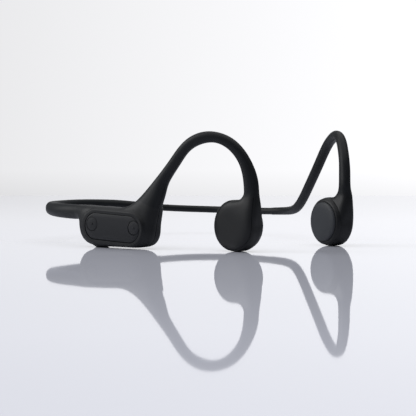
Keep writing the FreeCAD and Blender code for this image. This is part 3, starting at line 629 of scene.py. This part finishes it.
# ---- pod shell and inner cover -------------------------------------------------------------------
# Two injection moulded halves close on a silicone seal. The outer half has a shallow recess with a
# raised bead round it for the keypad; the inner half is screwed on and takes the charging contacts.


def moulded(name, dark, light, roughness, grain, depth, **extra):
    """An injection moulded plastic, its skin spark textured or satin, with marks of grain mm."""
    material, tree, shader = new_material(name, ior=1.46, specular_ior_level=0.3, **extra)
    marks = object_noise(tree, grain, 3.0).outputs["Fac"]
    tint(tree, shader, object_noise(tree, 9.0).outputs["Fac"], dark, light)
    tree.links.new(spread(tree, marks, roughness - 0.05, roughness + 0.06), shader.inputs["Roughness"])
    relief(tree, shader, marks, depth)
    return material


# ABS from a spark eroded tool: nearly black and matt, with a pebbled grain of 0.3 mm
pod_plastic = moulded("spark_textured_abs", "#0d0f12", "#131518", 0.5, 0.3, 0.006)

PANEL_REACH = 10.5
PANEL_RADIUS = 6.4
PANEL_FORWARD = 0.5
PANEL_HEIGHT = 10.05
PANEL_TILT = math.radians(2.8)
BEAD_FACE = -6.3
BEAD_WIDTH = 1.5
BEAD_FALL = 1.3
FLOOR_FACE = -4.9
WALL = 1.6
SEAM = 0.032
KEY_LIFT = 0.95
panel_along = pod_forward * math.cos(PANEL_TILT) - UP * math.sin(PANEL_TILT)
panel_upward = UP * math.cos(PANEL_TILT) + pod_forward * math.sin(PANEL_TILT)
panel_middle = in_pod(PANEL_FORWARD, 0, PANEL_HEIGHT)
KEYS_FORWARD = 0.55
KEY_SPREAD = 13.0
key_middles = [
    panel_middle + panel_along * (KEYS_FORWARD + side * KEY_SPREAD) + panel_upward * KEY_LIFT
    for side in (1, -1)
]


def beaded(points):
    """The outer face, brought to a flat bead round the keypad: a smooth step of the distance beyond
    the panel's outline takes each point from the bead's plane back to the body's own curve."""
    y = (points - in_pod(0, 0, 0)) @ pod_inward
    offset = points - panel_middle
    along, upward = offset @ panel_along, offset @ panel_upward
    beyond = np.hypot(np.maximum(abs(along) - PANEL_REACH, 0), upward) - PANEL_RADIUS
    share = np.clip(1 - (beyond - BEAD_WIDTH) / BEAD_FALL, 0, 1)
    share = share * share * (3 - 2 * share) * (y < POD_MID)
    return points + (share * (BEAD_FACE - y))[..., None] * pod_inward


SHELL_COLUMNS = 150


def half_shell(name, rows, first, last, extra_square, shape):
    """Half a tube: an arc of each row's section, and back along the same arc one wall inside it."""
    outer = rows.copy()
    outer[:, 9] += extra_square
    inner = outer.copy()
    for columns in (slice(3, 6), slice(6, 9)):
        reach = np.linalg.norm(outer[:, columns], axis=1, keepdims=True)
        inner[:, columns] *= 1 - WALL / reach
    turn = first + (last - first) * (0.5 - np.cos(np.linspace(0, np.pi, SHELL_COLUMNS)) / 2)
    skin = np.concatenate([shape(rings(outer, turn)), rings(inner, turn[::2])[:, ::-1]], axis=1)
    return surface(name, skin, pod_plastic)


def plug(name, middle, across, along, face, profile, material, reach=0.0, columns=64, looped=False):
    """A turned solid: each (radius, depth) of the profile is a ring round the axis at that depth. A
    reach above nought parts the two halves of each ring, which makes it a stadium."""
    turn = full_turn(columns)[None, :, None]
    radius, depth = (np.array(part, float)[:, None, None] for part in zip(*profile))
    sideways = radius * np.cos(turn) + reach * np.sign(np.round(np.cos(turn), 6))
    points = middle + sideways * across + radius * np.sin(turn) * along + depth * face
    return surface(name, points, material, looped)


def cut(piece, *cutters, keep=False):
    """Takes the cutters out of the piece, or keeps only what they cover, and removes them."""
    for cutter in cutters:
        hole = piece.modifiers.new(cutter.name, "BOOLEAN")
        hole.object = cutter
        hole.solver = "EXACT"
        hole.operation = "INTERSECT" if keep else "DIFFERENCE"
    bpy.context.view_layer.update()
    graph = bpy.context.evaluated_depsgraph_get()
    mesh = bpy.data.meshes.new_from_object(piece.evaluated_get(graph))
    piece.modifiers.clear()
    piece.data = mesh
    mesh.set_sharp_from_angle(angle=CREASE)
    for cutter in cutters:
        bpy.data.objects.remove(cutter)
    return piece


def pod_drill(name, middle, radius, near, far, reach=0.0):
    """A cutter along the pod's y, from near to far, level with the panel."""
    return plug(name, middle, panel_along, panel_upward, pod_inward,
                [(radius, near), (radius, far)], pod_plastic, reach)


SHELL_ROWS = 300
COVER_SQUARE = 2.0
pod_rows = flow(right_table, POD_START, HOOK_ROOT, SHELL_ROWS)
outer_half = half_shell("pod_shell", pod_rows, math.pi + SEAM, 2 * math.pi - SEAM, 0.0, beaded)
inner_half = half_shell("pod_cover", pod_rows, SEAM, math.pi - SEAM, COVER_SQUARE,
                        lambda points: points)

FOOT = centre_of("power_key_collar")
FLOOR_HOLES = (
    ("foot_hole", "power_key_collar", 4.0, 64),
    ("port_hole", "microphone_mesh", 1.4, 24),
    ("port_hole", "status_light_pipe", 0.8, 24),
)
FLOOR_CUT = (-1, 4)
FACE_CUT = (-8, -3)
STEM_CUT = (-6, -2)
INNER_CUT = (3, 8)
RECESS_GAP = 0.22
STEM_BORE = 1.3
SCREW_BORE = 1.45
CONTACT_BORE = 1.05
SCREW_HEIGHT = 10.35
SCREW_FORWARD = 18
SCREW_RISE = 4.5
CONTACT_FORWARD = 2.5
CONTACT_HEIGHT = SCREW_HEIGHT + 2


def floor_holes():
    """The upright holes through the pod's floor, which each half has its share of: one for the foot,
    one over the microphone and one over the light guide."""
    return [plug(name, centre_of(node) * (1, 1, 0), pod_forward, pod_inward, UP,
                 [(radius, depth) for depth in FLOOR_CUT], pod_plastic, columns=columns)
            for name, node, radius, columns in FLOOR_HOLES]


cut(outer_half,
    pod_drill("keypad_recess", panel_middle, PANEL_RADIUS + RECESS_GAP, FACE_CUT[0], FLOOR_FACE,
              PANEL_REACH),
    *(pod_drill("stem_hole", middle, STEM_BORE, *STEM_CUT) for middle in key_middles),
    *floor_holes())
screw_middles = [in_pod(x, 0, SCREW_HEIGHT + z)
                 for x in (-SCREW_FORWARD, SCREW_FORWARD) for z in (-SCREW_RISE, SCREW_RISE)]
contact_middles = [in_pod(x, 0, CONTACT_HEIGHT) for x in (-CONTACT_FORWARD, CONTACT_FORWARD)]
cut(inner_half, *floor_holes(),
    *(pod_drill("screw_hole", middle, SCREW_BORE, *INNER_CUT) for middle in screw_middles),
    *(pod_drill("contact_hole", middle, CONTACT_BORE, *INNER_CUT) for middle in contact_middles))
for piece, node in ((outer_half, "pod_outer_shell"), (inner_half, "pod_inner_cover")):
    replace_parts(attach(piece, "right_side"), node)

# ---- keypad panel and volume keys ----------------------------------------------------------------
# The panel is a clipped-in plate with two round holes, and tips down a little towards the front.
# Each key is a silicone cap on a stem, with a small raised dot to find by touch, and travels 0.4 mm.

KEY_BORE = 3.5
# silicone moulded in a blasted tool: nearly black, a shade lighter than the shell, with no shine
key_mat = moulded("matte_silicone_key_mat", "#101216", "#16181d", 0.5, 0.35, 0.004)
panel = plug("keypad_plate", panel_middle, panel_along, panel_upward, -pod_inward,
             [(PANEL_RADIUS, 4.9), (PANEL_RADIUS, 6.0), (PANEL_RADIUS - 0.12, 6.16),
              (PANEL_RADIUS - 0.4, 6.24), (4.2, 6.36), (1.5, 6.4)], key_mat, PANEL_REACH, 128)
cut(panel, *(pod_drill("key_hole", middle, KEY_BORE, *FACE_CUT) for middle in key_middles))
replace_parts(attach(panel, "right_side"), "keypad_panel")
KEY_PROFILE = [(1.1, 3.35), (1.1, 5.34), (1.15, 5.35), (3.2, 5.35), (3.3, 5.5), (3.3, 6.12),
               (3.2, 6.26), (2.95, 6.32), (1.6, 6.38), (0.55, 6.4), (0.5, 6.62), (0.25, 6.66)]
for side, middle in zip(("up", "down"), key_middles):
    key = plug("volume_" + side + "_key", middle, panel_along, panel_upward, -pod_inward,
               KEY_PROFILE, key_mat)
    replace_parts(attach(key, "volume_" + side + "_key"),
                "volume_" + side + "_button")

# ---- power key foot ------------------------------------------------------------------------------
# A turned collar of the pod's plastic, moulded with a flare below the pod's floor. It guards the
# power key inside it, and the pod rests on its narrow end.

foot = plug("power_key_foot", FOOT * (1, 1, 0), pod_forward, pod_inward, UP,
            [(2.6, 3.2), (3.95, 3.2), (3.95, 1.9), (4.6, 1.75), (4.75, 1.5), (4.35, 1.0), (3.75, 0.55),
             (3.2, 0.2), (2.9, 0.03), (2.8, 0.0), (2.65, 0.05), (2.6, 0.2)], pod_plastic, looped=True)
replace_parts(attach(foot, "right_side"), "power_key_collar")

# ---- ear hooks -----------------------------------------------------------------------------------
# Liquid silicone over the wire, like the band. The right hook grows out of the pod; the left one
# thickens from the thin band before it rises over the ear.

RIGHT_HOOK_GRID = (420, 72)
LEFT_HOOK_GRID = (460, 64)
right_hook = limb_skin("right_hook_skin", right_table, HOOK_ROOT, RIGHT_DISC + 1, RIGHT_HOOK_GRID,
                       silicone_skin)
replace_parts(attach(right_hook, "right_side"), "right_hook")

LEFT_GIRTHS = [(3.8, 3.8), (4.3, 4.3), (4.9, 4.9), (5.0, 5.0)]
left_points = np.concatenate([
    np.array(BAND_LINE[-1:] + BEND_LINE) - ORIGIN, left_hook_line[:-1] - ORIGIN,
])
level_count = 1 + len(BEND_LINE)
left_sides = np.concatenate([
    level_sides(left_points[:level_count]),
    np.repeat(hook_side(1)[None], len(left_points) - level_count, 0),
])
left_table = np.concatenate([
    stations(*with_middles(left_points, left_sides, LEFT_GIRTHS + LEG_GIRTHS), 2.1),
    disc_stations("left", 1),
])
LEFT_DISC = len(left_table) - len(FLARE_ROWS) - len(FRONT_ANGLES) - 1
left_hook = limb_skin("left_hook_skin", left_table, 1, LEFT_DISC + 1, LEFT_HOOK_GRID, silicone_skin)
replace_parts(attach(left_hook, "left_side"), "left_hook")

# ---- transducers ---------------------------------------------------------------------------------
# Each hook's end carries a drop-shaped housing, moulded in ABS. A domed cap closes it outside, and a
# coned plate with a softer round pad closes it on the side that touches the cheekbone.

# ABS from a satin tool: black, with an even low shine
housing_plastic = moulded("satin_abs", "#07090c", "#0c0e12", 0.45, 0.5, 0.003)
# soft silicone for the skin: dark grey, the lightest of the rubbers, and matt
pad_silicone = moulded("contact_silicone", "#2a2c30", "#323539", 0.5, 0.4, 0.004)

PLATE_PROFILE = [(1.0, 3.55), (10.2, 3.55), (10.45, 1.6), (11.4, 1.5), (11.6, 2.3), (11.6, 3.4),
                 (11.4, 4.0), (10.9, 4.55), (10.3, 4.85), (10.0, 4.93), (9.82, 4.88), (9.75, 4.75),
                 (1.0, 4.75)]
PAD_PROFILE = [(1.0, 4.75), (9.5, 4.75), (9.65, 5.0), (9.6, 5.4), (9.3, 5.75), (8.6, 6.0),
               (6.5, 6.2), (3.0, 6.3), (0.6, 6.3)]
INNER_PARTS = (
    ("inner_cone", "inner_plate", PLATE_PROFILE, housing_plastic, "housing"),
    ("cheek_pad", "contact_pad", PAD_PROFILE, pad_silicone, "contact_silicone"),
)
# the cap's outline is drawn round two circles: forward, up and radius of the disc's and the leg's
LENS_END = ((0.45, 0.0, 11.2), (9.4, 14.5, 2.7))
LENS_BACK = 3.2
LENS_DEPTH = 6
LENS_COLUMNS = 256
LENS_GAP = 0.16
DRIVER_BORE = (10.4, -3.3, 5)
PLATE_SEAT = (11.66, 1.3, 9)
BORE_COLUMNS = 96
DROP_ROWS = 260
DROP_COLUMNS = 120


def lens_prism(name, middle, forward, inward, shrink):
    """A prism across the outer half of a housing. Its outline is the taut line round a large circle
    on the disc and a small one in the leg: in each direction, the point of whichever reaches on."""
    turn = full_turn(LENS_COLUMNS)
    ray = np.stack([np.cos(turn), np.sin(turn)], 1)
    circles = np.array(LENS_END)
    centres, radii = circles[:, :2], circles[:, 2] - shrink
    reach = ray @ centres.T + radii
    first = (reach[:, 0] >= reach[:, 1])[:, None]
    outline = np.where(first, centres[0] + ray * radii[0], centres[1] + ray * radii[1])
    flat = middle + outline[:, :1] * forward + outline[:, 1:] * UP
    depths = np.array([-LENS_BACK, -LENS_BACK - LENS_DEPTH])[:, None, None]
    return surface(name, flat[None] + depths * inward, housing_plastic)


for name, hand, table, split in (
    ("right", -1, right_table, RIGHT_DISC), ("left", 1, left_table, LEFT_DISC),
):
    middle, forward, across = transducer_frame(name, hand)
    inward = -hand * across
    drop = rings(flow(table, split + 1, len(table) - 1, DROP_ROWS), full_turn(DROP_COLUMNS))
    body = surface(name + "_drop_housing", drop, housing_plastic)
    bores = [plug(name + "_bore", middle, forward, UP, inward, [(radius, near), (radius, far)],
                  housing_plastic, columns=BORE_COLUMNS)
             for radius, near, far in (DRIVER_BORE, PLATE_SEAT)]
    cut(body, lens_prism(name + "_seat", middle, forward, inward, 0.0), *bores)
    lens = surface(name + "_outer_lens", drop, housing_plastic)
    cut(lens, lens_prism(name + "_edge", middle, forward, inward, LENS_GAP), keep=True)
    for piece, node in ((body, "_transducer_housing"), (lens, "_outer_cap")):
        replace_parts(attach(piece, name + "_side"), name + node)
    for label, node, profile, material, slot in INNER_PARTS:
        piece = plug(name + "_" + label, middle, forward, UP, inward, profile, material,
                     columns=BORE_COLUMNS)
        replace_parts(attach(piece, name + "_side"), name + "_" + node)

# ---- inner parts and small fittings --------------------------------------------------------------
# The parts that keep their plain shapes: the drivers are pressed and plated metal, the electronics
# sit on one board with a pouch cell beside it, and screws, contacts and seals hold the pod together.

# spring strip, heat blackened: dark grey with a dull metal edge
spring_steel = bright_metal("blackened_spring_steel", "#4b4c4f", "#77787b", 0.3, 0.15)
# zinc plate over pressed iron: pale grey, softly mirrored
soft_iron = bright_metal("zinc_plated_iron", "#8b8d90", "#b0b2b5", 0.28, 0.25)
# nickel plate over a sintered magnet: warm, bright and smooth
nickel = bright_metal("nickel_plated_magnet", "#a9a59c", "#cbc7bf", 0.16, 0.4)
# enamelled wire wound in fine turns: orange brown, with lines along the winding
copper = bright_metal("enamelled_copper_wire", "#8a431f", "#b8632f", 0.25, 0.12, (1, 1, 6))
# gold flash over nickel: yellow and bright
gold = bright_metal("gold_flash_contact", "#b8903c", "#dcb765", 0.2, 0.3)
# etched steel mesh, blackened: dark, and dull from its holes
black_mesh = bright_metal("black_etched_mesh", "#141414", "#2c2c2c", 0.4, 0.1)
# moulded silicone: matt dark grey
seal_rubber = moulded("seal_silicone", "#191a1b", "#242526", 0.55, 0.3, 0.004)
# solder mask over fibreglass: deep green with a satin shine
board_mask = moulded("solder_masked_board", "#12301f", "#1b4630", 0.3, 0.6, 0.004)
# aluminium laminate: dull silver with slow creases
pouch_foil = bright_metal("pouch_cell_foil", "#9aa0a6", "#bcc1c6", 0.32, 1.2)
# glass filled nylon: nearly black and slightly patchy
switch_body = moulded("switch_nylon", "#1b1b1c", "#2a2a2b", 0.4, 0.3, 0.004)
# clear polycarbonate seen against white: pale and glossy
light_guide = moulded("light_guide_polycarbonate", "#d4d7da", "#e6e8ea", 0.15, 0.8, 0.002)

FITTINGS = (
    (spring_steel, "cover_screws left_suspension_spring right_suspension_spring radio_shield"),
    (soft_iron, "left_yoke right_yoke left_pole_plate right_pole_plate microphone"),
    (nickel, "left_magnet right_magnet charging_magnets"),
    (copper, "left_voice_coil right_voice_coil"),
    (gold, "charging_contacts antenna"),
    (black_mesh, "microphone_mesh"),
    (seal_rubber, "pod_seal left_gasket right_gasket"),
    (board_mask, "main_board"),
    (pouch_foil, "battery_cell"),
    (switch_body, "button_switches power_switch"),
    (light_guide, "status_light_pipe"),
    (key_mat, "power_button"),
)
for material, names in FITTINGS:
    for node in names.split():
        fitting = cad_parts[node]
        if not fitting.material_slots:
            fitting.data.materials.append(material)
        for place in fitting.material_slots:
            place.material = material
